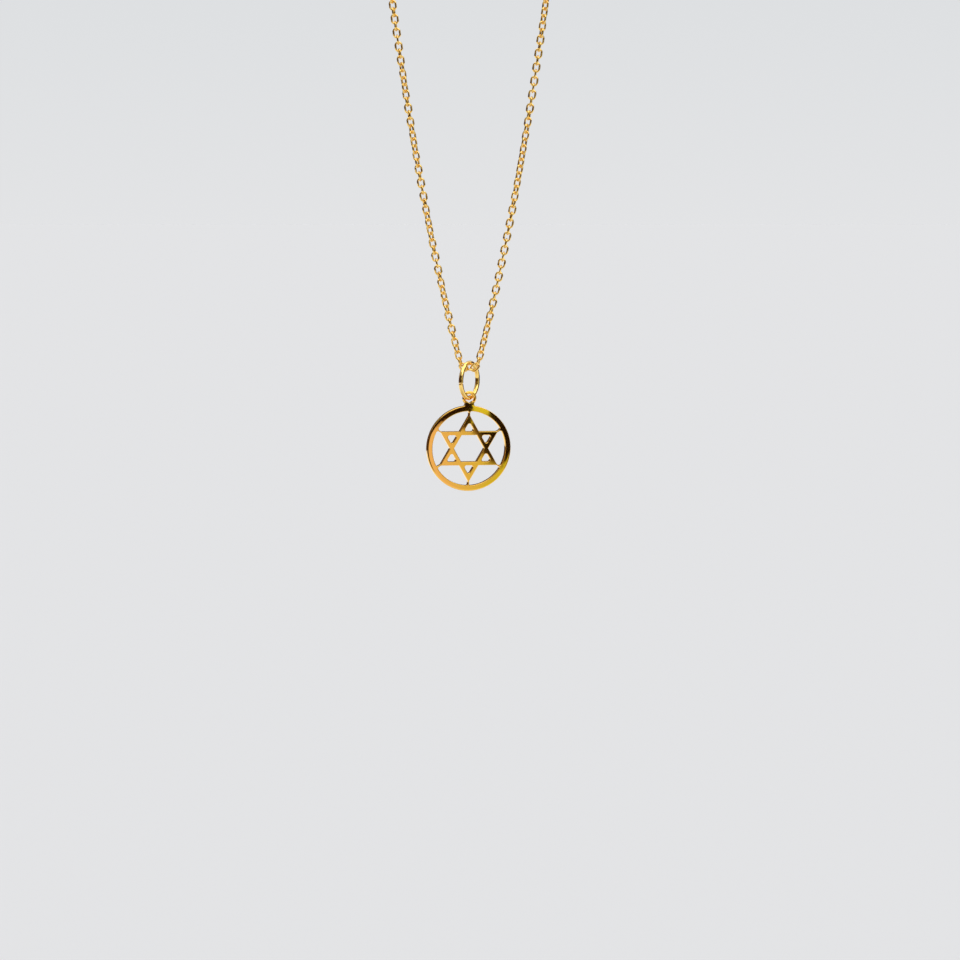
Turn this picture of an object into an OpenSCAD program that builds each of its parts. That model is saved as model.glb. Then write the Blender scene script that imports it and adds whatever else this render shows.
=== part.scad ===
/* [Disc] */
// Outside diameter of the round frame
disc_d = 15; // [12:0.5:20]
// Thickness of the pierced plate
disc_t = 1.1; // [0.8:0.05:1.6]
// Width of the frame's band
rim_w = 0.95; // [0.7:0.05:1.3]
// Turn of the plate about the vertical, its left edge towards the front
disc_yaw = 13; // [5:1:18]
// Turn of the plate in its own plane, its eye towards the right
disc_roll = 1; // [-2:0.5:2]

/* [Star] */
// Length of the thin neck between each point of the star and the frame
neck_len = 0.61; // [0.4:0.01:1]
// Width of that neck
neck_w = 0.22; // [0.2:0.01:0.45]
// Radius of the neck's fillets where it meets the frame
neck_fillet = 0.3; // [0.1:0.05:0.5]
// Width of the star's bars
bar_w = 0.62; // [0.45:0.01:0.75]
// Corner radius of the small hole in each point
hole_corner = 0.34; // [0.1:0.01:0.4]

/* [Eye] */
// Wire diameter of the eye that is soldered to the frame
eye_wire = 0.54; // [0.4:0.02:0.7]
// Angle below level at which the eye's wire goes into its solder
eye_foot_angle = 50; // [48:1:56]
// How much further the wire runs on inside the solder, as an angle
eye_bury_angle = 10; // [8:1:12]
// Depth of the solder over the inside of the wire
eye_solder = 0.04; // [0.04:0.01:0.06]
// Width of the solder between the eye and the frame
solder_w = 1.6; // [1.5:0.05:1.8]
// Height of the eye's round above the frame's edge
eye_foot = 0.05; // [0:0.01:0.1]
// Gap that the ring's wire has at the sides of the eye
eye_gap = 0.08; // [0.05:0.01:0.15]
// Drop of the eye's centre below the ring's wire
eye_drop = 0.05; // [0:0.01:0.1]

/* [Bail ring] */
// Outside diameter of the bail ring
ring_d = 6.9; // [6:0.1:9]
// Wire diameter of the bail ring
ring_wire = 0.8; // [0.6:0.02:0.9]
// Width of the seam where the ring is closed
ring_seam = 0.1; // [0.06:0.01:0.2]
// Place of the seam round the ring
ring_seam_at = 186; // [150:1:210]
// Turn of the ring about the vertical, its left side towards the front
ring_yaw = 62; // [56:1:70]

/* [Chain] */
// Length of the closed necklace, its clasp included
chain_len = 450; // [380:5:600]
// Width of the chain's links
link_w = 1.42; // [1.1:0.02:1.6]
// Radius of the chain's bend where it carries the ring
bend_r = 1.6; // [1.5:0.05:2.2]
// Gap between the chain and the ring that hangs on it
ring_gap = 0.12; // [0.1:0.01:0.2]
// Half of the pendant's pull, as a length of chain that weighs as much
drop_pull = 68; // [50:1:90]
// Sideways pull in the chain, as a length of chain
side_pull = 18; // [15:0.1:22]

/* [Clasp] */
// Outside diameter of the clasp's ring
clasp_d = 5.5; // [4.6:0.1:7]
// Tube diameter of the clasp's ring
clasp_wire = 1.1; // [0.8:0.05:1.4]
// Outside diameter of the small eye at each end of the clasp
clasp_eye_d = 2; // [1.8:0.05:2.6]
// Wire diameter of those eyes
clasp_eye_wire = 0.5; // [0.4:0.02:0.6]
// Depth to which each eye is soldered into the clasp's ring
clasp_solder = 0.35; // [0.2:0.05:0.45]
// Diameter of the clasp's thumb knob
knob_d = 0.7; // [0.5:0.05:0.9]
// Height of the knob above the clasp's ring
knob_h = 0.45; // [0.3:0.05:0.8]
// Gap between the clasp and the ends of the chain
clasp_gap = 0.1; // [0.05:0.05:0.3]

/* [Hidden] */
$fn = 64;
gold = [0.86, 0.66, 0.24];
chain_sides = 8;
corner_steps = 6;
overlap = 0.3;
neck_sink = 0.02;
hole_round_limit = 0.3;

// The plate, in its own plane with +Y up and the disc's centre at the origin
disc_r = disc_d / 2;
rim_in_r = disc_r - rim_w;
star_r = rim_in_r - neck_len;
star_half = star_r / 2;
neck_foot_x = neck_w / 2 + neck_fillet;
neck_foot_y = sqrt(rim_in_r * rim_in_r - neck_foot_x * neck_foot_x) + neck_sink;
hole_h = star_half - 2 * bar_w;
hole_y = star_half + hole_h / 3;

// The eye is as wide as the ring's wire needs where it crosses the plate at a slant
cross_angle = ring_yaw - disc_yaw;
eye_r = (ring_wire / 2 + eye_wire / 2 + eye_gap) / sin(cross_angle);
eye_out_r = eye_r + eye_wire / 2;
eye_y = disc_r + eye_foot + eye_out_r;
eye_reach = 180 + 2 * (eye_foot_angle + eye_bury_angle);
solder_in_r = eye_r - eye_wire / 2 - eye_solder;

// Half of the chain's path, from the bend's lowest point upwards, as [x, z]
chain_r = link_w / 2;
bend_angle = atan(drop_pull / side_pull);
bend_x = bend_r * sin(bend_angle);
bend_z = bend_r * (1 - cos(bend_angle));
strand_len = strand_for(12, chain_len / 3);
lean = lean_at(strand_len);
loop_r = loop_r_for(strand_len);
loop_z = strand_point(strand_len)[1] + loop_r * sin(lean);
clasp_half = clasp_d / 2 + clasp_eye_d - clasp_solder;
clasp_arc = asin((clasp_half + clasp_gap) / loop_r);
bend_steps = 5;
strand_steps = 24;
loop_steps = 9;
half_path = concat(
    [for (i = [0:bend_steps - 1]) bend_point(bend_angle * i / bend_steps)],
    [for (i = [0:strand_steps - 1]) strand_point(strand_len * i / strand_steps)],
    [for (i = [0:loop_steps]) loop_point(-lean + (90 - clasp_arc + lean) * i / loop_steps)]);
half_turns = concat(
    [for (i = [0:bend_steps - 1]) bend_angle * i / bend_steps],
    [for (i = [0:strand_steps - 1]) 90 - lean_at(strand_len * i / strand_steps)],
    [for (i = [0:loop_steps]) 90 - lean + (90 - clasp_arc + lean) * i / loop_steps]);
path_count = len(half_path);

// Heights in the part's own frame, with the top of what carries the necklace at zero
bend_bottom = -(loop_z + loop_r - chain_r);
ring_mid_r = (ring_d - ring_wire) / 2;
ring_top = bend_bottom + chain_r + ring_gap + ring_wire / 2;
ring_z = ring_top - ring_mid_r;
ring_bottom = ring_z - ring_mid_r;
eye_z = ring_bottom - eye_drop;
seam_angle = 360 * ring_seam / (PI * (ring_d - ring_wire));
clasp_mid_r = (clasp_d - clasp_wire) / 2;
clasp_eye_mid_r = (clasp_eye_d - clasp_eye_wire) / 2;
clasp_eye_x = clasp_half - clasp_eye_d / 2;
clasp_z = clasp_wire / 2;

// A hanging chain: lean from the vertical and place after a run of given length
function arsinh(v) = ln(v + sqrt(v * v + 1));
function lean_at(run) = atan(side_pull / (drop_pull + run));
function strand_point(run) = [
    bend_x + side_pull * (arsinh((drop_pull + run) / side_pull) - arsinh(drop_pull / side_pull)),
    bend_z + norm([side_pull, drop_pull + run]) - norm([side_pull, drop_pull])];
function bend_point(turn) = [bend_r * sin(turn), bend_r * (1 - cos(turn))];
function loop_point(turn) = [loop_r * cos(turn), loop_z + loop_r * sin(turn)];

// The round that closes the loop touches each strand's upper end, and the strands take the
// rest of the necklace's length
function loop_r_for(run) = strand_point(run)[0] / cos(lean_at(run));
function radians(angle) = angle * PI / 180;
function half_round(run) = loop_r_for(run) * radians(90 + lean_at(run));
function strand_for(tries, run) = tries == 0
    ? run
    : strand_for(tries - 1, chain_len / 2 - bend_r * radians(bend_angle) - half_round(run));

// Arc points for rounded corners and fillets
function arc(centre, radius, from, to) = [
    for (i = [0:corner_steps])
        let (turn = from + (to - from) * i / corner_steps)
            centre + radius * [cos(turn), sin(turn)]];

// The chain's whole path from one side of the clasp to the other, and its rings
function path_point(i) = i < path_count - 1
    ? [-half_path[path_count - 1 - i][0], half_path[path_count - 1 - i][1]]
    : half_path[i - path_count + 1];
function path_turn(i) = i < path_count - 1
    ? -half_turns[path_count - 1 - i]
    : half_turns[i - path_count + 1];
function ring_points(i) = [
    for (k = [0:chain_sides - 1])
        let (
            side = 360 * k / chain_sides,
            inward = chain_r * cos(side),
            across = chain_r * sin(side),
            turn = path_turn(i),
            place = path_point(i))
            [place[0] - inward * sin(turn), across, place[1] + inward * cos(turn) + bend_bottom]];

module gold_piece() {
    color(gold) children();
}

module star_point_hole() {
    corner = min(hole_corner, hole_h * hole_round_limit);
    corner_r = hole_h * 2 / 3 - 2 * corner;
    translate([0, hole_y])
        polygon([
            for (k = [0:2])
                let (out = 90 + 120 * k)
                    each arc(corner_r * [cos(out), sin(out)], corner, out - 60, out + 60)]);
}

module star_neck() {
    left = arc([-neck_foot_x, neck_foot_y - neck_fillet], neck_fillet, 90, 0);
    right = arc([neck_foot_x, neck_foot_y - neck_fillet], neck_fillet, 180, 90);
    polygon(concat(
        [[-neck_foot_x, neck_foot_y + overlap]],
        left,
        [[-neck_w / 2, star_r - bar_w], [neck_w / 2, star_r - bar_w]],
        right,
        [[neck_foot_x, neck_foot_y + overlap]]));
}

module star_outline() {
    difference() {
        for (turn = [90, -90])
            rotate(turn)
                circle(r = star_r, $fn = 3);
        circle(r = (star_half - bar_w) / cos(30), $fn = 6);
        for (k = [0:5])
            rotate(60 * k)
                star_point_hole();
    }
}

module frame_outline() {
    difference() {
        circle(r = disc_r);
        circle(r = rim_in_r);
    }
}

// The solder under the eye, level with both faces of the frame, with the foot of the eye's
// hole as a notch
module eye_solder_foot() {
    top_y = eye_y - solder_in_r * sin(eye_foot_angle);
    notch_x = solder_in_r * cos(eye_foot_angle);
    notch_y = eye_y - solder_in_r / sin(eye_foot_angle);
    foot_y = disc_r - rim_w / 2;
    polygon([
        [-solder_w / 2, foot_y], [solder_w / 2, foot_y], [solder_w / 2, top_y],
        [notch_x, top_y], [0, notch_y], [-notch_x, top_y], [-solder_w / 2, top_y]]);
}

module eye_wire_loop() {
    translate([0, eye_y, 0])
        rotate(-eye_foot_angle - eye_bury_angle)
            rotate_extrude(angle = eye_reach)
                translate([eye_r, 0])
                    circle(d = eye_wire);
}

module star_disc() {
    gold_piece()
        translate([0, 0, eye_z])
            rotate([90, 0, disc_yaw])
                rotate(-disc_roll)
                    translate([0, -eye_y, 0]) {
                        linear_extrude(height = disc_t, center = true) {
                            frame_outline();
                            star_outline();
                            for (k = [0:5])
                                rotate(60 * k)
                                    star_neck();
                            eye_solder_foot();
                        }
                        eye_wire_loop();
                    }
}

module jump_ring() {
    gold_piece()
        translate([0, 0, ring_z])
            rotate([90, 0, ring_yaw])
                rotate(ring_seam_at + seam_angle / 2)
                    rotate_extrude(angle = 360 - seam_angle)
                        translate([ring_mid_r, 0])
                            circle(d = ring_wire);
}

module chain() {
    ring_count = 2 * path_count - 1;
    points = [for (i = [0:ring_count - 1]) each ring_points(i)];
    sides = [
        for (i = [0:ring_count - 2], k = [0:chain_sides - 1])
            let (
                next = (k + 1) % chain_sides,
                low = i * chain_sides,
                high = low + chain_sides)
                each [
                    [low + k, low + next, high + next],
                    [low + k, high + next, high + k]]];
    first_end = [for (k = [0:chain_sides - 1]) chain_sides - 1 - k];
    last_end = [for (k = [0:chain_sides - 1]) (ring_count - 1) * chain_sides + k];
    gold_piece()
        polyhedron(points = points, faces = concat(sides, [first_end, last_end]));
}

module clasp_eye(side) {
    translate([side * clasp_eye_x, 0, clasp_z])
        rotate_extrude()
            translate([clasp_eye_mid_r, 0])
                circle(d = clasp_eye_wire);
}

module clasp() {
    gold_piece() {
        translate([0, 0, clasp_z])
            rotate_extrude()
                translate([clasp_mid_r, 0])
                    circle(d = clasp_wire);
        clasp_eye(-1);
        clasp_eye(1);
        translate([0, clasp_mid_r, clasp_z])
            cylinder(d = knob_d, h = clasp_wire / 2 + knob_h);
    }
}

star_disc();
jump_ring();
chain();
clasp();
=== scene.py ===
import bpy
import bmesh
import math
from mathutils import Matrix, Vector, noise
from mathutils.geometry import delaunay_2d_cdt


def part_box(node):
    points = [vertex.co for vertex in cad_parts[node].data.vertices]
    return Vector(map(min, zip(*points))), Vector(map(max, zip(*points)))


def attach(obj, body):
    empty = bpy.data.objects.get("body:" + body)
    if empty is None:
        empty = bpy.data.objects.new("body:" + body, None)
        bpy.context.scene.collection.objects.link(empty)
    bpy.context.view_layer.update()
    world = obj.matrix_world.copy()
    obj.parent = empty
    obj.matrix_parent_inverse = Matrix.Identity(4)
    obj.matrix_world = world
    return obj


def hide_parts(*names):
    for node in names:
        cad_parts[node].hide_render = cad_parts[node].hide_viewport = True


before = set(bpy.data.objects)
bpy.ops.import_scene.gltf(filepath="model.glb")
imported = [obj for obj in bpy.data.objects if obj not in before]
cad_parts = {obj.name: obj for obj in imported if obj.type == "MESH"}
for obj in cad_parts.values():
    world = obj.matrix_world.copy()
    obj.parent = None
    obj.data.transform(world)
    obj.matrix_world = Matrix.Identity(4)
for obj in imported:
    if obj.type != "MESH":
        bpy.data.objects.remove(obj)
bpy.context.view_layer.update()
mm = 0.001

# Sizes below are in millimetres and angles in degrees, apart from the floor's

mergeWithin = 0.0005  # points this close become one


def fromBox(node):
    low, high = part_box(node)
    return low / mm, high / mm


def cleanMesh(mesh):
    # Doubles merged, faces turned outwards
    work = bmesh.new()
    work.from_mesh(mesh)
    bmesh.ops.remove_doubles(work, verts=work.verts, dist=mergeWithin * mm)
    bmesh.ops.recalc_face_normals(work, faces=work.faces)
    work.to_mesh(mesh)
    work.free()


def newPiece(name, points, faces, gold):
    # One plain mesh at the origin
    mesh = bpy.data.meshes.new(name)
    mesh.from_pydata([Vector(p) * mm for p in points], [], faces)
    cleanMesh(mesh)
    for face in mesh.polygons:
        face.use_smooth = True
    mesh.materials.append(gold)
    piece = bpy.data.objects.new(name, mesh)
    bpy.context.scene.collection.objects.link(piece)
    return piece


def stackShapes(shapes):
    # Several lists of points and faces as one
    points, faces = [], []
    for somePoints, someFaces in shapes:
        first = len(points)
        points += somePoints
        faces += [tuple(first + i for i in face) for face in someFaces]
    return points, faces


def wireArc(midRadius, wireRadius, fromAngle, toAngle, steps, sides, tipRound=0.0):
    # A bent round wire in its own flat plane (x, y), h across it
    # Open ends get a cap, and a soft edge where tipRound is given
    whole = abs(toAngle - fromAngle) >= 360
    rows = []
    for i in range(steps if whole else steps + 1):
        turn = math.radians(fromAngle + (toAngle - fromAngle) * i / steps)
        rows.append((turn, wireRadius))
    if not whole and tipRound:
        back = math.degrees(tipRound / midRadius)
        sign = 1 if toAngle > fromAngle else -1
        midway = 0.3  # a tip's middle ring: this share of the edge further in and narrower
        middle, inner = wireRadius - tipRound * midway, wireRadius - tipRound
        rows[0] = (math.radians(fromAngle + sign * back), wireRadius)
        rows[-1] = (math.radians(toAngle - sign * back), wireRadius)
        rows.insert(0, (math.radians(fromAngle + sign * back * midway), middle))
        rows.insert(0, (math.radians(fromAngle), inner))
        rows.append((math.radians(toAngle - sign * back * midway), middle))
        rows.append((math.radians(toAngle), inner))
    points, faces = [], []
    for turn, radius in rows:
        for k in range(sides):
            roundTurn = math.tau * k / sides
            reach = midRadius + radius * math.cos(roundTurn)
            points.append((reach * math.cos(turn), reach * math.sin(turn), radius * math.sin(roundTurn)))
    count = len(rows)
    for i in range(count if whole else count - 1):
        low, high = i * sides, (i + 1) % count * sides
        for k in range(sides):
            nextK = (k + 1) % sides
            faces.append((low + k, high + k, high + nextK, low + nextK))
    if not whole:
        faces.append(tuple(range(sides)))
        faces.append(tuple((count - 1) * sides + k for k in reversed(range(sides))))
    return points, faces


def standUp(points, yaw, height):
    # From a flat plane (x, y, h) to the hanging frame: y goes up, and the plane turns about the vertical
    c, s = math.cos(math.radians(yaw)), math.sin(math.radians(yaw))
    return [(x * c + h * s, x * s - h * c, y + height) for x, y, h in points]


def addNode(tree, kind, values=None, **settings):
    # A node with its settings made, and its inputs linked or set
    node = tree.nodes.new(kind)
    for key, value in settings.items():
        setattr(node, key, value)
    for key, value in (values or {}).items():
        if isinstance(value, bpy.types.NodeSocket):
            tree.links.new(value, node.inputs[key])
        else:
            node.inputs[key].default_value = value
    return node


def mathNode(tree, operation, *values):
    return addNode(tree, "ShaderNodeMath", dict(enumerate(values)), operation=operation).outputs[0]


# Gold

goldFinish = {
    "discColour": (0.94, 0.57, 0.11), "ringColour": (0.96, 0.66, 0.2),
    "chainColour": (0.96, 0.64, 0.18), "claspColour": (0.94, 0.6, 0.15),
    "discRoughness": 0.035, "wireRoughness": 0.06, "discMarks": 0.03, "wireMarks": 0.05,
    # Soft clouds in the polish, as shares of the roughness, and the fine marks of the buffing wheel
    "cloudScale": 900, "cloudDetail": 4, "smoothest": 0.7, "roughest": 1.5,
    "markScale": 2600, "markDetail": 3, "markTurn": (0.3, 0.5, 0.7), "markStretch": (1, 1, 0.12),
    "markDepth": 0.01,
}


def polishedGold(name, colour, roughness, markStrength):
    # Yellow gold; the polish wavers a little, as a buffing wheel leaves it
    finish = goldFinish
    gold = bpy.data.materials.new(name)
    gold.use_nodes = True
    tree = gold.node_tree
    shader = tree.nodes["Principled BSDF"]
    shader.inputs["Base Color"].default_value = (*colour, 1)
    shader.inputs["Metallic"].default_value = 1.0
    place = addNode(tree, "ShaderNodeTexCoord").outputs["Object"]
    clouds = addNode(tree, "ShaderNodeTexNoise",
                     {"Vector": place, "Scale": finish["cloudScale"], "Detail": finish["cloudDetail"]})
    spread = addNode(tree, "ShaderNodeMapRange",
                     {"Value": clouds.outputs["Fac"], "To Min": roughness * finish["smoothest"],
                      "To Max": roughness * finish["roughest"]})
    tree.links.new(spread.outputs["Result"], shader.inputs["Roughness"])
    stretch = addNode(tree, "ShaderNodeMapping",
                      {"Vector": place, "Rotation": finish["markTurn"], "Scale": finish["markStretch"]})
    marks = addNode(tree, "ShaderNodeTexNoise",
                    {"Vector": stretch.outputs["Vector"], "Scale": finish["markScale"],
                     "Detail": finish["markDetail"]})
    bump = addNode(tree, "ShaderNodeBump",
                   {"Height": marks.outputs["Fac"], "Strength": markStrength,
                    "Distance": finish["markDepth"] * mm})
    tree.links.new(bump.outputs["Normal"], shader.inputs["Normal"])
    return gold


discGold = polishedGold("discGold", goldFinish["discColour"], goldFinish["discRoughness"],
                        goldFinish["discMarks"])
ringGold = polishedGold("ringGold", goldFinish["ringColour"], goldFinish["wireRoughness"],
                        goldFinish["wireMarks"])
chainGold = polishedGold("chainGold", goldFinish["chainColour"], goldFinish["wireRoughness"],
                         goldFinish["wireMarks"])
claspGold = polishedGold("claspGold", goldFinish["claspColour"], goldFinish["wireRoughness"],
                         goldFinish["wireMarks"])
print("gold mixed")


# The disc: frame, pierced star, necks and solder foot cut from one plate, and the wire eye

starDisc = {
    "across": 15.0, "thick": 1.1, "band": 0.95, "yaw": 13.0, "roll": 1.0,
    "neckLong": 0.61, "neckWide": 0.22, "neckFillet": 0.3,
    "bar": 0.62, "holeCorner": 0.34, "sharpCorner": 0.05,
    "edgeRound": 0.07, "edgeStrip": 0.03, "edgeTurns": (0, 35, 65, 90), "dome": 0.08,
    # The hand polish's wave: its height, its waves a millimetre, and where its two sides lie in the noise
    "wave": 0.004, "waveScale": 0.35, "waveSides": 4.0, "waveStart": 1.7,
    "wornWide": 0.38, "wornDeep": 0.027,
    "footWide": 1.6, "footFillet": 0.35, "footCorner": 0.22, "notchCorner": 0.06, "notchFoot": 0.1,
    "eyeWire": 0.54, "eyeRadius": 0.99376, "eyeGap": 0.05,
    "eyeFootAngle": 50.0, "eyeBury": 10.0, "eyeSolder": 0.04,
    # How finely it is cut
    "roundSteps": 200, "rimSteps": 30, "filletSteps": 7, "holeSteps": 8, "eyeSteps": 60, "eyeSides": 18,
    "grid": 0.33, "gridMargin": 0.45, "footRows": 6, "wornRows": (0.0, 0.1, 0.19), "wornClear": 0.12,
    "sameSpot": 1e-6, "joinWithin": 1e-7,
}


def arcPoints(centre, radius, fromAngle, toAngle, steps):
    out = []
    for i in range(steps + 1):
        turn = math.radians(fromAngle + (toAngle - fromAngle) * i / steps)
        out.append((centre[0] + radius * math.cos(turn), centre[1] + radius * math.sin(turn)))
    return out


def softCorners(corners, steps=5):
    # Each corner is (x, y, radius); straight runs between them, rounded where a radius is given
    out = []
    count = len(corners)
    for i in range(count):
        here = Vector(corners[i][:2])
        radius = corners[i][2]
        back = Vector(corners[i - 1][:2]) - here
        ahead = Vector(corners[(i + 1) % count][:2]) - here
        if radius <= 0 or back.length == 0 or ahead.length == 0:
            out.append(tuple(here))
            continue
        b, a = back.normalized(), ahead.normalized()
        half = b.angle(a) / 2
        reach = radius / math.tan(half)
        centre = here + (b + a).normalized() * (radius / math.sin(half))
        start, end = here + b * reach, here + a * reach
        fromTurn = math.atan2(start.y - centre.y, start.x - centre.x)
        toTurn = math.atan2(end.y - centre.y, end.x - centre.x)
        swing = (toTurn - fromTurn + math.pi) % math.tau - math.pi
        for k in range(steps + 1):
            turn = fromTurn + swing * k / steps
            out.append((centre.x + radius * math.cos(turn), centre.y + radius * math.sin(turn)))
    return out


def turned(points, degrees):
    c, s = math.cos(math.radians(degrees)), math.sin(math.radians(degrees))
    return [(x * c - y * s, x * s + y * c) for x, y in points]


def finerLoop(points, longest, sameSpot):
    # The same loop with its long runs cut up
    out = []
    for i, here in enumerate(points):
        after = points[(i + 1) % len(points)]
        run = math.dist(here, after)
        if run < sameSpot:
            continue
        parts = max(1, math.ceil(run / longest))
        out += [(here[0] + (after[0] - here[0]) * k / parts, here[1] + (after[1] - here[1]) * k / parts)
                for k in range(parts)]
    return out


def signedArea(points):
    return sum(a[0] * b[1] - b[0] * a[1] for a, b in zip(points, points[1:] + points[:1])) / 2


def insetLoop(points, depth, leastLean=0.5):
    # Moves a loop into the metal, which lies to its left; leastLean keeps sharp corners from shooting out
    out = []
    count = len(points)
    for i in range(count):
        before, here, after = Vector(points[i - 1]), Vector(points[i]), Vector(points[(i + 1) % count])
        a, b = (here - before).normalized(), (after - here).normalized()
        left = Vector((-a.y - b.y, a.x + b.x))
        left.normalize()
        lean = max(leastLean, left.dot(Vector((-a.y, a.x))))
        out.append(tuple(here + left * (depth / lean)))
    return out


def insideLoop(point, loop):
    x, y = point
    inside = False
    for (x1, y1), (x2, y2) in zip(loop, loop[1:] + loop[:1]):
        if (y1 > y) != (y2 > y) and x < (x2 - x1) * (y - y1) / (y2 - y1) + x1:
            inside = not inside
    return inside


def onMetal(point, outline, holes):
    return insideLoop(point, outline) and not any(insideLoop(point, hole) for hole in holes)


def discLoops(d):
    frameRadius = d["across"] / 2
    inRadius = frameRadius - d["band"]
    starRadius = inRadius - d["neckLong"]
    eyeHeight = frameRadius + d["eyeGap"] + d["eyeRadius"] + d["eyeWire"] / 2
    filletSteps = d["filletSteps"]

    # Outside: round the frame, then up and over the solder foot with the foot of the eye's hole as a notch
    half, fillet = d["footWide"] / 2, d["footFillet"]
    filletHeight = math.sqrt((frameRadius + fillet) ** 2 - (half + fillet) ** 2)
    meet = math.degrees(math.atan2(filletHeight, half + fillet))
    footAngle = math.radians(d["eyeFootAngle"])
    solderRadius = d["eyeRadius"] - d["eyeWire"] / 2 - d["eyeSolder"]
    footTop = eyeHeight - solderRadius * math.sin(footAngle)
    notchSide = solderRadius * math.cos(footAngle)
    notchFoot = eyeHeight - solderRadius / math.sin(footAngle)
    outside = arcPoints((0, 0), frameRadius, 180 - meet, 360 + meet, d["roundSteps"])
    outside += arcPoints((half + fillet, filletHeight), fillet, 180 + meet, 180, filletSteps)[1:-1]
    outside += softCorners([
        (half, filletHeight, 0), (half, footTop, d["footCorner"]), (notchSide, footTop, d["notchCorner"]),
        (0, notchFoot, d["notchFoot"]), (-notchSide, footTop, d["notchCorner"]),
        (-half, footTop, d["footCorner"]), (-half, filletHeight, 0)])
    outside += arcPoints((-half - fillet, filletHeight), fillet, 0, -meet, filletSteps)[1:-1]

    # One window between two points of the star, about the +x direction
    neckHalf, neckFillet = d["neckWide"] / 2, d["neckFillet"]
    filletReach = math.sqrt((inRadius - neckFillet) ** 2 - (neckHalf + neckFillet) ** 2)
    spread = math.degrees(math.asin((neckHalf + neckFillet) / (inRadius - neckFillet)))
    armMeet = starRadius - neckHalf / math.tan(math.radians(30))
    upper = [(armMeet, -neckHalf)]
    upper += arcPoints((filletReach, -neckHalf - neckFillet), neckFillet, 90, -spread, filletSteps)
    upper = turned(upper, 30)
    lower = [(x, -y) for x, y in reversed(upper)]
    rim = arcPoints((0, 0), inRadius, 30 - spread, -30 + spread, d["rimSteps"])[1:-1]
    crook = softCorners([
        (lower[-1][0], lower[-1][1], 0), (starRadius / math.sqrt(3), 0, d["sharpCorner"]),
        (upper[0][0], upper[0][1], 0)])[1:-1]
    window = upper + rim + lower + crook

    # One rounded hole in the star's top point
    holeTall = starRadius / 2 - 2 * d["bar"]
    holeHeight = starRadius / 2 + holeTall / 3
    cornerReach = holeTall * 2 / 3 - 2 * d["holeCorner"]
    hole = []
    for k in range(3):
        out = 90 + 120 * k
        centre = (cornerReach * math.cos(math.radians(out)),
                  holeHeight + cornerReach * math.sin(math.radians(out)))
        hole += arcPoints(centre, d["holeCorner"], out - 60, out + 60, d["holeSteps"])

    # The six-sided hole in the middle
    hexReach = (starRadius / 2 - d["bar"]) / math.cos(math.radians(30))
    hexTurns = [math.radians(60 * k) for k in range(6)]
    middle = softCorners([(hexReach * math.cos(a), hexReach * math.sin(a), d["sharpCorner"])
                          for a in hexTurns])

    loops = [outside] + [turned(window, 60 * k) for k in range(6)]
    loops += [turned(hole, 60 * k) for k in range(6)] + [middle]
    wound = []
    for i, loop in enumerate(loops):
        loop = finerLoop(loop, d["grid"], d["sameSpot"])
        area = signedArea(loop)
        if (i == 0) != (area > 0):
            loop.reverse()
        wound.append(loop)
    return wound, eyeHeight


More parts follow.
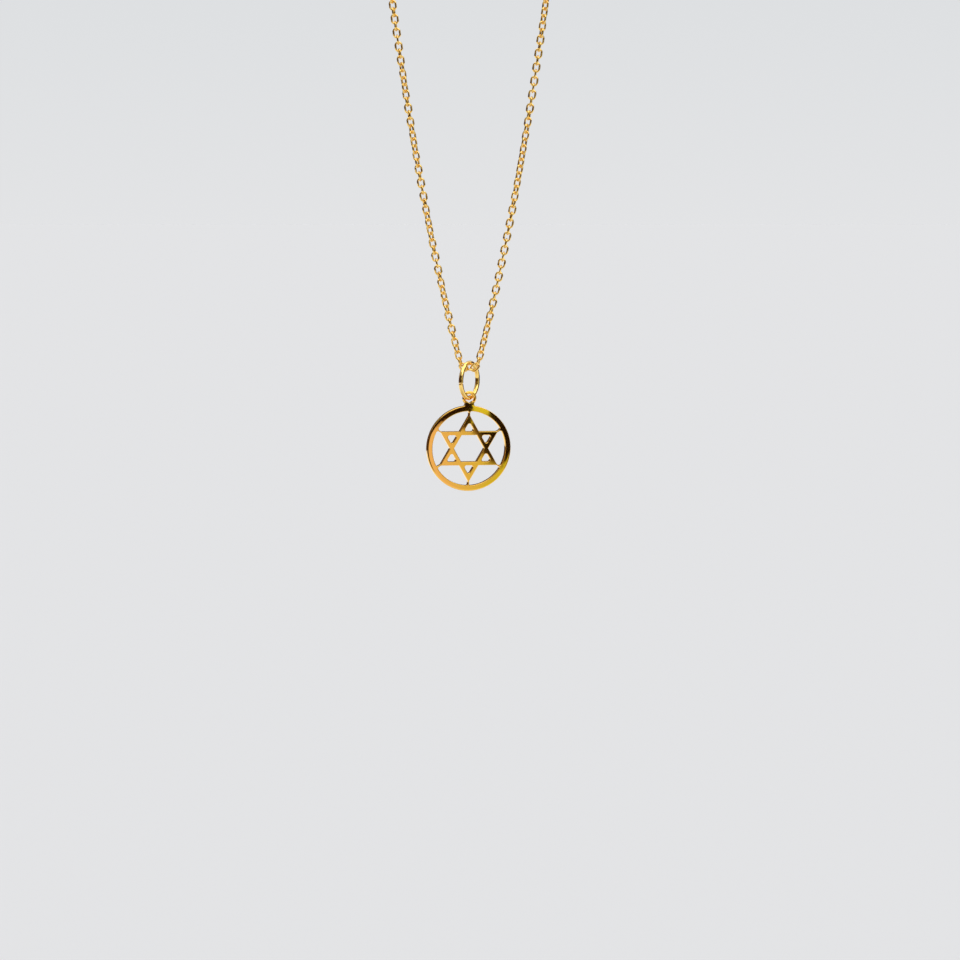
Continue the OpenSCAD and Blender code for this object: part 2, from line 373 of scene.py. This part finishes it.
def plateShape(d, loops):
    # The plate with a soft edge all round and a slightly domed, hand polished face on both sides
    radius = d["across"] / 2
    edge = d["edgeRound"]

    def faceHeight(x, y, side):
        waveAt = Vector((x * d["waveScale"], y * d["waveScale"], d["waveSides"] * side + d["waveStart"]))
        worn = min(1.0, max(0.0, 1 - (radius - math.hypot(x, y)) / d["wornWide"])) ** 2
        return (d["thick"] / 2 + d["dome"] * (0.5 - (x * x + y * y) / radius ** 2)
                + d["wave"] * noise.noise(waveAt) - d["wornDeep"] * worn)

    profile = [(edge * (1 - math.cos(a)), edge * (1 - math.sin(a)))
               for a in map(math.radians, d["edgeTurns"])]
    profile.append((edge + d["edgeStrip"], 0.0))
    points, faces = [], []
    innermost = {1: [], -1: []}
    for loop in loops:
        count = len(loop)
        rings = []
        for side in (-1, 1):
            steps = profile if side > 0 else list(reversed(profile))
            for depth, drop in steps:
                first = len(points)
                for x, y in insetLoop(loop, depth) if depth else loop:
                    points.append((x, y, side * (faceHeight(x, y, side) - drop)))
                rings.append(first)
        for low, high in zip(rings, rings[1:]):
            for k in range(count):
                nextK = (k + 1) % count
                faces.append((low + k, low + nextK, high + nextK, high + k))
        innermost[-1].append((rings[0], count))
        innermost[1].append((rings[-1], count))

    # Both faces are filled with an even grid, and with closer rows along the worn edge
    bandIn = radius - d["wornWide"]
    rowStep = d["grid"] * math.sqrt(3) / 2
    rows = int(2 * radius / rowStep) + d["footRows"]
    columns = int(2 * radius / d["grid"]) + 2
    for side in (-1, 1):
        flat, edges, owner = [], [], []
        outlines = []
        for first, count in innermost[side]:
            start = len(flat)
            for k in range(count):
                flat.append(Vector(points[first + k][:2]))
                owner.append(first + k)
                edges.append((start + k, start + (k + 1) % count))
            outlines.append([tuple(v) for v in flat[start:]])
        margin = d["grid"] * d["gridMargin"]
        keepOut = [[tuple(p) for p in insetLoop(outline, margin)] for outline in outlines]
        for row in d["wornRows"]:
            for x, y in arcPoints((0, 0), bandIn + row, 0, 360, d["roundSteps"])[:-1]:
                if onMetal((x, y), outlines[0], keepOut[1:]):
                    flat.append(Vector((x, y)))
                    owner.append(None)
        for j in range(rows):
            y = -radius + j * rowStep
            for i in range(columns):
                x = -radius + (i + 0.5 * (j % 2)) * d["grid"]
                fromBand = abs(math.hypot(x, y) - radius + d["wornWide"] / 2)
                if fromBand < d["wornWide"] / 2 + d["wornClear"]:
                    continue
                if onMetal((x, y), keepOut[0], keepOut[1:]):
                    flat.append(Vector((x, y)))
                    owner.append(None)
        verts, _, tris, origins, _, _ = delaunay_2d_cdt(flat, edges, [], 0, d["joinWithin"])
        index = []
        for v, origin in zip(verts, origins):
            known = [owner[o] for o in origin if owner[o] is not None]
            if known:
                index.append(known[0])
            else:
                index.append(len(points))
                points.append((v.x, v.y, side * faceHeight(v.x, v.y, side)))
        for tri in tris:
            middle = (sum(verts[i].x for i in tri) / 3, sum(verts[i].y for i in tri) / 3)
            if onMetal(middle, outlines[0], outlines[1:]):
                faces.append(tuple(index[i] for i in tri))
    return points, faces


discFoot = fromBox("star_disc")[0].z
loops, eyeHeight = discLoops(starDisc)
roll = math.radians(starDisc["roll"])
eyeZ = discFoot + starDisc["across"] / 2 + eyeHeight * math.cos(roll)
plate = plateShape(starDisc, loops)
eyeEnd = starDisc["eyeFootAngle"] + starDisc["eyeBury"]
eyePoints, eyeFaces = wireArc(starDisc["eyeRadius"], starDisc["eyeWire"] / 2, -eyeEnd, 180 + eyeEnd,
                              starDisc["eyeSteps"], starDisc["eyeSides"])
eye = ([(x, y + eyeHeight, h) for x, y, h in eyePoints], eyeFaces)
discPoints, discFaces = stackShapes([plate, eye])
hung = turned([(x, y - eyeHeight) for x, y, _ in discPoints], -starDisc["roll"])
discPoints = [(x, y, h) for (x, y), (_, _, h) in zip(hung, discPoints)]
discPiece = newPiece("starDisc", standUp(discPoints, starDisc["yaw"], eyeZ), discFaces, discGold)
fromEye = (-eyeHeight * math.sin(roll), -eyeHeight * math.cos(roll), 0)
discCentre = Vector(standUp([fromEye], starDisc["yaw"], eyeZ)[0])
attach(discPiece, "pendant")
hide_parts("star_disc")
print("disc cut:", len(discFaces), "faces, centre", [round(v, 3) for v in discCentre])


# The bail ring: one round of wire with the fine seam where it closes

bailRing = {
    "across": 6.9, "wire": 0.8, "yaw": 62.0, "seam": 0.1, "seamAt": 186.0, "softEnd": 0.05,
    "steps": 120, "sides": 24,
}

ringLow, ringHigh = fromBox("jump_ring")
ringMid = (bailRing["across"] - bailRing["wire"]) / 2
seamAngle = math.degrees(bailRing["seam"] / ringMid)
ringPoints, ringFaces = wireArc(
    ringMid, bailRing["wire"] / 2, bailRing["seamAt"] + seamAngle / 2,
    bailRing["seamAt"] + 360 - seamAngle / 2, bailRing["steps"], bailRing["sides"], bailRing["softEnd"])
ringHeight = (ringLow.z + ringHigh.z) / 2
ringPiece = newPiece("bailRing", standUp(ringPoints, bailRing["yaw"], ringHeight), ringFaces, ringGold)
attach(ringPiece, "bail_ring")
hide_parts("jump_ring")
print("bail ring bent, centre", round(ringHeight, 3))


# The chain: oval links on the hanging curve, each a quarter turn from the last

chain = {
    # The closed length with its clasp, the round at the lowest point, and what shapes the strands
    "closedLong": 450, "bendRadius": 1.6, "dropPull": 68.0, "sidePull": 18.0, "tube": 0.71,
    "linkLong": 1.88, "linkWide": 1.42, "wire": 0.34, "pitch": 1.177,
    "roundSides": 14, "wireSides": 6,
    "endX": 3.84, "endZ": 0.55, "endRun": 2.2,  # the clasp's eye, and the stretch that eases into it
    "bendSteps": 40, "strandSteps": 500, "loopSteps": 160, "endSteps": 8, "tries": 14,
    # How far the chain has twisted, in degrees, at a height above its lowest point
    "leftTwist": [(0, 90), (3.5, 128), (8, 90), (13, 135), (19, 180), (25, 225), (32, 270), (40, 315),
                  (44.5, 352), (49, 405), (55, 442), (63.5, 470), (80, 540), (130, 630), (208, 720)],
    "rightTwist": [(0, 90), (2.5, 60), (6, 45), (12, 82), (27, 98), (30, 117), (36, 135), (42, 153),
                   (46, 174), (56, 188), (62, 225), (76, 270), (130, 315), (184, 315), (208, 360)],
}


def onBend(c, turn):
    # A point of the round at the ring, as (x, z) over the lowest point
    return c["bendRadius"] * math.sin(turn), c["bendRadius"] * (1 - math.cos(turn))


def bendTurn(c):
    # How far the round turns before a strand takes over
    return math.atan(c["dropPull"] / c["sidePull"])


def onStrand(c, run):
    # A point of the hanging curve, run along it from the end of the bend
    startX, startZ = onBend(c, bendTurn(c))
    a, b = c["sidePull"], c["dropPull"]
    return (startX + a * (math.asinh((b + run) / a) - math.asinh(b / a)),
            startZ + math.hypot(a, b + run) - math.hypot(a, b))


def loopFor(c, run):
    # The round at the top that touches both strands there: the strands' lean, its radius and its height
    x, z = onStrand(c, run)
    lean = math.atan(c["sidePull"] / (c["dropPull"] + run))
    radius = x / math.cos(lean)
    return lean, radius, z + radius * math.sin(lean)


def strandFor(c):
    # A strand takes the length that the bend and the round at the top leave
    run = c["closedLong"] / 3
    for _ in range(c["tries"]):
        lean, radius = loopFor(c, run)[:2]
        run = c["closedLong"] / 2 - c["bendRadius"] * bendTurn(c) - radius * (math.pi / 2 + lean)
    return run


def halfPath(c):
    # From the lowest point up one side to the clasp's eye, as (x, z) over the lowest point
    strandLong = strandFor(c)
    lean, loopRadius, loopHeight = loopFor(c, strandLong)
    out = [onBend(c, bendTurn(c) * i / c["bendSteps"]) for i in range(c["bendSteps"])]
    out += [onStrand(c, strandLong * i / c["strandSteps"]) for i in range(c["strandSteps"])]
    lastTurn = math.acos((c["endX"] + c["endRun"]) / loopRadius)
    for i in range(c["loopSteps"] + 1):
        turn = -lean + (lastTurn + lean) * i / c["loopSteps"]
        out.append((loopRadius * math.cos(turn), loopHeight + loopRadius * math.sin(turn)))
    return out


def twistAt(keys, height):
    for (h0, t0), (h1, t1) in zip(keys, keys[1:]):
        if height <= h1:
            part = max(0.0, (height - h0) / (h1 - h0))
            return math.radians(t0 + (t1 - t0) * part)
    return math.radians(keys[-1][1])


def chainPath(c, foot):
    # Both sides from one end to the other, as (x, z, twist); the last stretch eases into the clasp's eye
    half = halfPath(c)
    endZ = c["endZ"] - foot
    lastX, lastZ = half[-1]
    for i in range(1, c["endSteps"] + 1):
        part = i / c["endSteps"]
        half.append((lastX + (c["endX"] - lastX) * part, lastZ + (endZ - lastZ) * part))
    both = [(-x, z, twistAt(c["leftTwist"], z)) for x, z in reversed(half[1:])]
    both += [(x, z, twistAt(c["rightTwist"], z)) for x, z in half]
    return [(x, z + foot, twist) for x, z, twist in both]


def linkTree():
    # Puts one link on every step of a path, standing across the last one and twisted as the path says
    tree = bpy.data.node_groups.new("chainLinks", "GeometryNodeTree")
    tree.is_modifier = True
    face = tree.interface
    face.new_socket("Path", in_out="INPUT", socket_type="NodeSocketGeometry")
    face.new_socket("Links", in_out="INPUT", socket_type="NodeSocketInt")
    for name in ("Link Long", "Link Wide", "Wire"):
        face.new_socket(name, in_out="INPUT", socket_type="NodeSocketFloat")
    for name in ("Round Sides", "Wire Sides"):
        face.new_socket(name, in_out="INPUT", socket_type="NodeSocketInt")
    face.new_socket("Gold", in_out="INPUT", socket_type="NodeSocketMaterial")
    face.new_socket("Chain", in_out="OUTPUT", socket_type="NodeSocketGeometry")
    given = tree.nodes.new("NodeGroupInput").outputs
    result = tree.nodes.new("NodeGroupOutput")

    # Joints along the path, and between every two of them one place for a link
    curve = addNode(tree, "GeometryNodeMeshToCurve", {"Mesh": given["Path"]})
    joints = addNode(tree, "GeometryNodeResampleCurve", {"Curve": curve.outputs["Curve"]})
    joints.mode = "COUNT"
    tree.links.new(mathNode(tree, "ADD", given["Links"], 1.0), joints.inputs["Count"])
    runs = addNode(tree, "GeometryNodeCurveToMesh", {"Curve": joints.outputs["Curve"]})
    edge = tree.nodes.new("GeometryNodeInputMeshEdgeVertices")
    along = addNode(tree, "ShaderNodeVectorMath",
                    {0: edge.outputs["Position 2"], 1: edge.outputs["Position 1"]}, operation="SUBTRACT")
    keep = addNode(tree, "GeometryNodeCaptureAttribute", {"Geometry": runs.outputs["Mesh"]}, domain="EDGE")
    keep.capture_items.new("VECTOR", "Along")
    tree.links.new(along.outputs["Vector"], keep.inputs["Along"])
    places = addNode(tree, "GeometryNodeMeshToPoints", {"Mesh": keep.outputs["Geometry"]}, mode="EDGES")

    # Long side along the path, then a quarter turn more at each link
    facing = addNode(tree, "FunctionNodeAlignRotationToVector", {"Vector": keep.outputs["Along"]}, axis="X")
    level = addNode(tree, "FunctionNodeAlignRotationToVector",
                    {"Rotation": facing.outputs["Rotation"], "Vector": (0, 1, 0)}, axis="Y", pivot_axis="X")
    number = tree.nodes.new("GeometryNodeInputIndex")
    quarters = mathNode(tree, "MULTIPLY", mathNode(tree, "ADD", number.outputs["Index"], 1.0), math.pi / 2)
    twist = addNode(tree, "GeometryNodeInputNamedAttribute", {"Name": "twist"}, data_type="FLOAT")
    whole = mathNode(tree, "ADD", quarters, twist.outputs["Attribute"])
    spin = addNode(tree, "FunctionNodeAxisAngleToRotation", {"Axis": (1, 0, 0), "Angle": whole})
    turn = addNode(tree, "FunctionNodeRotateRotation",
                   {"Rotation": level.outputs["Rotation"], "Rotate By": spin.outputs["Rotation"]},
                   rotation_space="LOCAL")

    # One link: a round drawn out along x, with wire round it
    wireMid = mathNode(tree, "SUBTRACT", given["Link Wide"], given["Wire"])
    longer = mathNode(tree, "SUBTRACT", given["Link Long"], given["Link Wide"])
    oval = addNode(tree, "GeometryNodeCurvePrimitiveCircle",
                   {"Resolution": given["Round Sides"], "Radius": mathNode(tree, "MULTIPLY", wireMid, 0.5)},
                   mode="RADIUS")
    here = tree.nodes.new("GeometryNodeInputPosition")
    split = addNode(tree, "ShaderNodeSeparateXYZ", {"Vector": here.outputs["Position"]})
    side = mathNode(tree, "SIGN", split.outputs["X"])
    shift = mathNode(tree, "MULTIPLY", side, mathNode(tree, "MULTIPLY", longer, 0.5))
    offset = addNode(tree, "ShaderNodeCombineXYZ", {"X": shift})
    drawn = addNode(tree, "GeometryNodeSetPosition",
                    {"Geometry": oval.outputs["Curve"], "Offset": offset.outputs["Vector"]})
    section = addNode(tree, "GeometryNodeCurvePrimitiveCircle",
                      {"Resolution": given["Wire Sides"],
                       "Radius": mathNode(tree, "MULTIPLY", given["Wire"], 0.5)}, mode="RADIUS")
    link = addNode(tree, "GeometryNodeCurveToMesh",
                   {"Curve": drawn.outputs["Geometry"], "Profile Curve": section.outputs["Curve"]})
    smooth = addNode(tree, "GeometryNodeSetShadeSmooth", {"Geometry": link.outputs["Mesh"]})

    hang = addNode(tree, "GeometryNodeInstanceOnPoints",
                   {"Points": places.outputs["Points"], "Instance": smooth.outputs["Geometry"],
                    "Rotation": turn.outputs["Rotation"]})
    real = addNode(tree, "GeometryNodeRealizeInstances", {"Geometry": hang.outputs["Instances"]})
    gilt = addNode(tree, "GeometryNodeSetMaterial",
                   {"Geometry": real.outputs["Geometry"], "Material": given["Gold"]})
    tree.links.new(gilt.outputs["Geometry"], result.inputs["Chain"])
    return tree


def plainMesh(worker, name):
    # The evaluated result as a mesh of its own, its modifier gone
    ready = worker.evaluated_get(bpy.context.evaluated_depsgraph_get())
    mesh = bpy.data.meshes.new_from_object(ready)
    mesh.name = name
    bpy.data.objects.remove(worker)
    cleanMesh(mesh)
    for leftOver in [a.name for a in mesh.attributes if a.name in ("twist", "Along")]:
        mesh.attributes.remove(mesh.attributes[leftOver])
    piece = bpy.data.objects.new(name, mesh)
    bpy.context.scene.collection.objects.link(piece)
    return piece


chainFoot = fromBox("chain")[0].z + chain["tube"]
path = chainPath(chain, chainFoot)
pathLong = sum(math.dist(a[:2], b[:2]) for a, b in zip(path, path[1:]))
# One more than a multiple of four, so the lowest link and both end links lie alike
linkCount = 4 * round((pathLong / chain["pitch"] - 1) / 4) + 1
pathMesh = bpy.data.meshes.new("chainPath")
pathMesh.from_pydata([(x * mm, 0, z * mm) for x, z, _ in path],
                     [(i, i + 1) for i in range(len(path) - 1)], [])
twistLayer = pathMesh.attributes.new("twist", "FLOAT", "POINT")
twistLayer.data.foreach_set("value", [twist for _, _, twist in path])
worker = bpy.data.objects.new("chainPath", pathMesh)
bpy.context.scene.collection.objects.link(worker)
tree = linkTree()
links = worker.modifiers.new("links", "NODES")
links.node_group = tree
sizes = {
    "Links": linkCount, "Link Long": chain["linkLong"] * mm, "Link Wide": chain["linkWide"] * mm,
    "Wire": chain["wire"] * mm, "Round Sides": chain["roundSides"], "Wire Sides": chain["wireSides"],
    "Gold": chainGold,
}
for socket in tree.interface.items_tree:
    if socket.in_out == "INPUT" and socket.name in sizes:
        links[socket.identifier] = sizes[socket.name]
chainPiece = plainMesh(worker, "chain")
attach(chainPiece, "necklace")
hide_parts("chain")
print("chain linked:", linkCount, "links, pitch", round(pathLong / linkCount, 4),
      "faces", len(chainPiece.data.polygons))


# The clasp: a plain spring ring with an eye at each side and a thumb knob

clasp = {
    "across": 5.5, "tube": 1.1, "eyeAcross": 2.0, "eyeWire": 0.5, "solder": 0.35,
    "knob": 0.7, "knobTall": 0.45, "knobRound": 0.12,
    # The knob's stem as a share of its radius, and the heights below its top in rounds of its edge
    "stem": 0.8, "stemTop": 2.4, "headFoot": 2, "knobTurns": (0, 0.4, 0.8, 1.2, math.pi / 2), "onAxis": 0.001,
    "ringSteps": 72, "ringSides": 20, "eyeSteps": 36, "eyeSides": 12, "knobSides": 24,
}


def lathed(profile, sides, x, y):
    # A turned shape about an upright line; the profile is (radius, z) from one end on the axis to the other
    points, faces = [], []
    for radius, z in profile:
        for k in range(sides):
            turn = math.tau * k / sides
            points.append((x + radius * math.cos(turn), y + radius * math.sin(turn), z))
    for i in range(len(profile) - 1):
        for k in range(sides):
            nextK = (k + 1) % sides
            faces.append((i * sides + k, i * sides + nextK, (i + 1) * sides + nextK, (i + 1) * sides + k))
    faces.append(tuple(reversed(range(sides))))
    faces.append(tuple((len(profile) - 1) * sides + k for k in range(sides)))
    return points, faces


claspHeight = clasp["tube"] / 2
claspMid = (clasp["across"] - clasp["tube"]) / 2
eyeX = clasp["across"] / 2 + clasp["eyeAcross"] - clasp["solder"] - clasp["eyeAcross"] / 2
eyeMid = (clasp["eyeAcross"] - clasp["eyeWire"]) / 2
claspShapes = []
points, faces = wireArc(claspMid, clasp["tube"] / 2, 0, 360, clasp["ringSteps"], clasp["ringSides"])
claspShapes.append(([(x, y, h + claspHeight) for x, y, h in points], faces))
for side in (-1, 1):
    points, faces = wireArc(eyeMid, clasp["eyeWire"] / 2, 0, 360, clasp["eyeSteps"], clasp["eyeSides"])
    claspShapes.append(([(x + side * eyeX, y, h + claspHeight) for x, y, h in points], faces))
knobTop = claspHeight + clasp["tube"] / 2 + clasp["knobTall"]
knobRadius, knobRound = clasp["knob"] / 2, clasp["knobRound"]
stemRadius = knobRadius * clasp["stem"]
knobProfile = [
    (clasp["onAxis"], claspHeight), (stemRadius, claspHeight),
    (stemRadius, knobTop - clasp["stemTop"] * knobRound),
    (knobRadius, knobTop - clasp["headFoot"] * knobRound),
]
for turn in clasp["knobTurns"]:
    knobProfile.append((knobRadius - knobRound + knobRound * math.cos(turn),
                        knobTop - knobRound + knobRound * math.sin(turn)))
knobProfile.append((clasp["onAxis"], knobTop))
claspShapes.append(lathed(knobProfile, clasp["knobSides"], 0, claspMid))
claspPoints, claspFaces = stackShapes(claspShapes)
claspPiece = newPiece("clasp", claspPoints, claspFaces, claspGold)
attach(claspPiece, "necklace")
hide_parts("clasp")
print("clasp made")


# Studio: pale floor, soft light all round, and what the polished gold mirrors

studio = {
    "floorHeight": -0.35, "floorReach": 9.0,  # in metres
    "floorColour": (0.797, 0.802, 0.8165), "paper": (0.7666, 0.7728, 0.7859),
    "paperTop": (0.729, 0.744, 0.76), "fadeFrom": -0.019, "fadeTo": 0.08, "soft": 0.965,
}

floorMesh = bpy.data.meshes.new("floor")
floorMesh.from_pydata(
    [(x * studio["floorReach"], y * studio["floorReach"], studio["floorHeight"])
     for x, y in ((-1, -1), (1, -1), (1, 1), (-1, 1))], [], [(0, 1, 2, 3)])
floorPaint = bpy.data.materials.new("paleFloor")
floorPaint.use_nodes = True
floorShader = floorPaint.node_tree.nodes["Principled BSDF"]
floorShader.inputs["Base Color"].default_value = (*studio["floorColour"], 1)
floorShader.inputs["Roughness"].default_value = 1.0
floorShader.inputs["Specular IOR Level"].default_value = 0.0
floorMesh.materials.append(floorPaint)
floor = bpy.data.objects.new("floor", floorMesh)
bpy.context.scene.collection.objects.link(floor)
floor.visible_glossy = False


def toward(azimuth, elevation):
    # A direction from the necklace: azimuth 0 to the camera's side, 90 to the right
    a, e = math.radians(azimuth), math.radians(elevation)
    return Vector((math.sin(a) * math.cos(e), -math.cos(a) * math.cos(e), math.sin(e)))


world = bpy.data.worlds.new("studio")
bpy.context.scene.world = world
world.use_nodes = True
sky = world.node_tree
sky.nodes.clear()


def skyNode(kind, values=None, **settings):
    return addNode(sky, kind, values, **settings)


look = skyNode("ShaderNodeTexCoord").outputs["Generated"]


def beyond(normal, softness, shift=0.0):
    # 1 on the side of a plane through the middle that the normal points to, with a soft edge
    dot = skyNode("ShaderNodeVectorMath", {0: look, 1: tuple(normal)}, operation="DOT_PRODUCT")
    step = skyNode("ShaderNodeMapRange", {"Value": dot.outputs["Value"], "From Min": shift - softness,
                                          "From Max": shift + softness}, interpolation_type="SMOOTHSTEP")
    return step.outputs["Result"]


def aboveLevel(height, softness):
    return beyond((0, 0, 1), softness, height)


def belowLevel(height, softness):
    return beyond((0, 0, -1), softness, -height)


def times(*values):
    out = values[0]
    for value in values[1:]:
        out = mathNode(sky, "MULTIPLY", out, value)
    return out


def panel(azimuth, elevation, halfWide, halfTall, softness):
    # A soft-edged panel seen from the necklace
    middle = toward(azimuth, elevation)
    right = Vector((math.cos(math.radians(azimuth)), math.sin(math.radians(azimuth)), 0))
    up = right.cross(middle) * -1
    if up.z < 0:
        up = -up
    sides = []
    for direction, half in ((right, halfWide), (-right, halfWide), (up, halfTall), (-up, halfTall)):
        normal = middle * math.sin(math.radians(half)) - direction * math.cos(math.radians(half))
        sides.append(beyond(normal, math.radians(softness)))
    return times(*sides)


def edgeThrough(first, second, inside, softness):
    # 1 on one side of the great circle through two directions: the side where a third one lies
    normal = toward(*first).cross(toward(*second)).normalized()
    if normal.dot(toward(*inside)) < 0:
        normal = -normal
    return beyond(normal, softness)


def blendTo(base, level, mask):
    # base where the mask is 0, level where it is 1
    mix = skyNode("ShaderNodeMix", {"Factor": mask, "A": base, "B": level}, data_type="FLOAT")
    return mix.outputs["Result"]


def blendColour(part, first, second, **settings):
    # A colour from first to second by part; sockets 6 and 7 are the Mix node's colours, output 2 its result
    first, second = [(*c, 1) if isinstance(c, tuple) else c for c in (first, second)]
    mix = skyNode("ShaderNodeMix", {"Factor": part, 6: first, 7: second}, data_type="RGBA", **settings)
    return mix.outputs[2]


mirror = {
    # How bright each patch of the surroundings is
    "room": 0.02, "floor": 1.05, "face": 0.82, "floorBelow": 0.5, "overhead": 1.9, "key": 2.4, "strip": 0.9,
    "waist": 0.06, "behind": 0.1, "lamp": 0.6, "glint": 0.85,
    # Panels: azimuth, elevation, half width, half height, softness
    "keyPanel": (48, 43, 34, 19, 5), "leftPanel": (-78, 5, 12, 45, 4), "rightPanel": (68, 5, 12, 45, 4),
    "farLeftPanel": (-130, 10, 9, 45, 4), "farRightPanel": (125, 10, 9, 45, 4),
    "backPanel": (180, 38, 75, 14, 5), "behindPanel": (188, 6, 30, 14, 4), "lampPanel": (14, 11, 8, 6, 3),
    # Levels: height on a ball of radius 1, softness; farFloorFrom is softness and how far behind the middle
    "waistFoot": (-0.27, 0.04), "waistTop": (0.4, 0.06), "waistShare": 0.95, "overheadFoot": (0.78, 0.06),
    "floorTop": (-0.225, 0.02), "farFloorTop": (-0.131, 0.012), "farFloorFrom": (0.1, 0.4),
    "floorBelowTop": (-0.75, 0.5), "faceFoot": (-0.3, 0.02), "faceTop": (-0.05, 0.008),
    "cornerFoot": (-0.141, 0.008), "cornerTop": (0.33, 0.05),
    "glintFoot": (-0.0785, 0.002), "glintTop": (0.26, 0.01),
    # Edges: two directions that each runs through, one on its inner side, softness
    "faceLeft": ((17, -30), (17, 30), (20, 0), 0.03), "faceRight": ((36, -30), (36, 30), (20, 0), 0.05),
    "cornerBeside": ((26.0, -5.2), (27.4, -8.0), (40, 5), 0.008),
    "cornerAbove": ((22.9, -4.4), (26.0, -5.2), (26, 10), 0.008),
    "cornerLeft": ((8, -30), (8, 30), (20, 0), 0.04), "cornerRight": ((56, -30), (56, 30), (30, 0), 0.04),
    "glintLeft": ((25.95, -3.7), (27.9, 12.2), (30, 8), 0.002),
    "glintRight": ((27.15, -4.0), (35.2, 9.9), (28, 8), 0.002),
    # Tints: dim light is warm, the face goes from orange to olive, and the glint is lemon
    "warm": (1.0, 0.5, 0.22), "warmBelow": 0.6, "white": (1, 1, 1), "glintColour": (0.88, 1.0, 0.2),
    "leftTint": (1.13, 0.88, 1.0), "rightTint": (0.8, 0.87, 0.15), "tintAt": 25.6, "tintReach": 0.06,
}

# What the disc's face shows: bright lower left, a dark corner of the room upper right, and a thin glint
face = times(edgeThrough(*mirror["faceLeft"]), edgeThrough(*mirror["faceRight"]),
             belowLevel(*mirror["faceTop"]), aboveLevel(*mirror["faceFoot"]))
cornerEdge = mathNode(sky, "MAXIMUM", edgeThrough(*mirror["cornerBeside"]),
                      edgeThrough(*mirror["cornerAbove"]))
corner = times(cornerEdge, aboveLevel(*mirror["cornerFoot"]), edgeThrough(*mirror["cornerRight"]),
               edgeThrough(*mirror["cornerLeft"]), belowLevel(*mirror["cornerTop"]))
glint = times(edgeThrough(*mirror["glintLeft"]), edgeThrough(*mirror["glintRight"]),
              aboveLevel(*mirror["glintFoot"]), belowLevel(*mirror["glintTop"]))

# The patches in order, each over the ones before it
patches = [
    ("key", panel(*mirror["keyPanel"])),
    ("strip", panel(*mirror["leftPanel"])),
    ("strip", panel(*mirror["farRightPanel"])),
    ("strip", panel(*mirror["farLeftPanel"])),
    ("waist", times(aboveLevel(*mirror["waistFoot"]), belowLevel(*mirror["waistTop"]), mirror["waistShare"])),
    ("strip", panel(*mirror["rightPanel"])),
    ("strip", panel(*mirror["backPanel"])),
    ("behind", panel(*mirror["behindPanel"])),
    ("overhead", aboveLevel(*mirror["overheadFoot"])),
    ("floor", belowLevel(*mirror["floorTop"])),
    ("floor", times(belowLevel(*mirror["farFloorTop"]), beyond((0, 1, 0), *mirror["farFloorFrom"]))),
    ("floorBelow", belowLevel(*mirror["floorBelowTop"])),
    ("face", face),
    ("room", corner),
    ("lamp", panel(*mirror["lampPanel"])),
    ("glint", glint),
]
light = skyNode("ShaderNodeValue").outputs[0]
light.default_value = mirror["room"]
for name, mask in patches:
    light = blendTo(light, mirror[name], mask)

# The colour of all that light
dim = skyNode("ShaderNodeMapRange", {"Value": light, "From Max": mirror["warmBelow"]},
              interpolation_type="SMOOTHSTEP").outputs["Result"]
tone = blendColour(dim, mirror["warm"], mirror["white"])
sideways = skyNode("ShaderNodeVectorMath", {0: look, 1: tuple(toward(mirror["tintAt"] + 90, 0))},
                   operation="DOT_PRODUCT").outputs["Value"]
tintPart = skyNode("ShaderNodeMapRange", {"Value": sideways, "From Min": -mirror["tintReach"],
                                          "From Max": mirror["tintReach"]}).outputs["Result"]
tint = blendColour(tintPart, mirror["leftTint"], mirror["rightTint"])
toned = blendColour(1.0, tone, blendColour(face, mirror["white"], tint), blend_type="MULTIPLY")
glinted = blendColour(glint, toned, mirror["glintColour"])

# The camera sees plain paper, polished metal its surroundings, and all else soft light
height = skyNode("ShaderNodeSeparateXYZ", {"Vector": look}).outputs["Z"]
fade = skyNode("ShaderNodeMapRange", {"Value": height, "From Min": studio["fadeFrom"],
                                      "From Max": studio["fadeTo"]}).outputs["Result"]
paper = skyNode("ShaderNodeBackground", {"Color": blendColour(fade, studio["paper"], studio["paperTop"])})
soft = skyNode("ShaderNodeBackground", {"Color": (1, 1, 1, 1), "Strength": studio["soft"]})
seen = skyNode("ShaderNodeBackground", {"Color": glinted, "Strength": light})
ray = skyNode("ShaderNodeLightPath").outputs
lit = skyNode("ShaderNodeMixShader", {"Fac": ray["Is Glossy Ray"], 1: soft.outputs[0], 2: seen.outputs[0]})
shown = skyNode("ShaderNodeMixShader", {"Fac": ray["Is Camera Ray"], 1: lit.outputs[0], 2: paper.outputs[0]})
skyNode("ShaderNodeOutputWorld", {"Surface": shown.outputs[0]})
print("studio lit")


# Camera at the photograph's angle

view = {
    "lens": 85.0, "sensor": 36, "nearest": 10, "elevation": 7.5, "frameWide": 168.4,
    "right": 2.02, "up": -5.58,
}

camera = bpy.data.cameras.new("camera")
camera.lens = view["lens"]
camera.sensor_width = view["sensor"]
camera.clip_start = view["nearest"] * mm
cameraObject = bpy.data.objects.new("camera", camera)
bpy.context.scene.collection.objects.link(cameraObject)
lift = math.radians(view["elevation"])
ahead = Vector((0, math.cos(lift), -math.sin(lift)))
upward = Vector((0, math.sin(lift), math.cos(lift)))
target = (discCentre + Vector((view["right"], 0, 0)) + upward * view["up"]) * mm
distance = view["frameWide"] * mm * view["lens"] / view["sensor"]
cameraObject.location = target - ahead * distance
cameraObject.rotation_euler = (math.pi / 2 - lift, 0, 0)
bpy.context.scene.camera = cameraObject
bpy.context.scene.view_settings.view_transform = "Standard"
print("camera set")
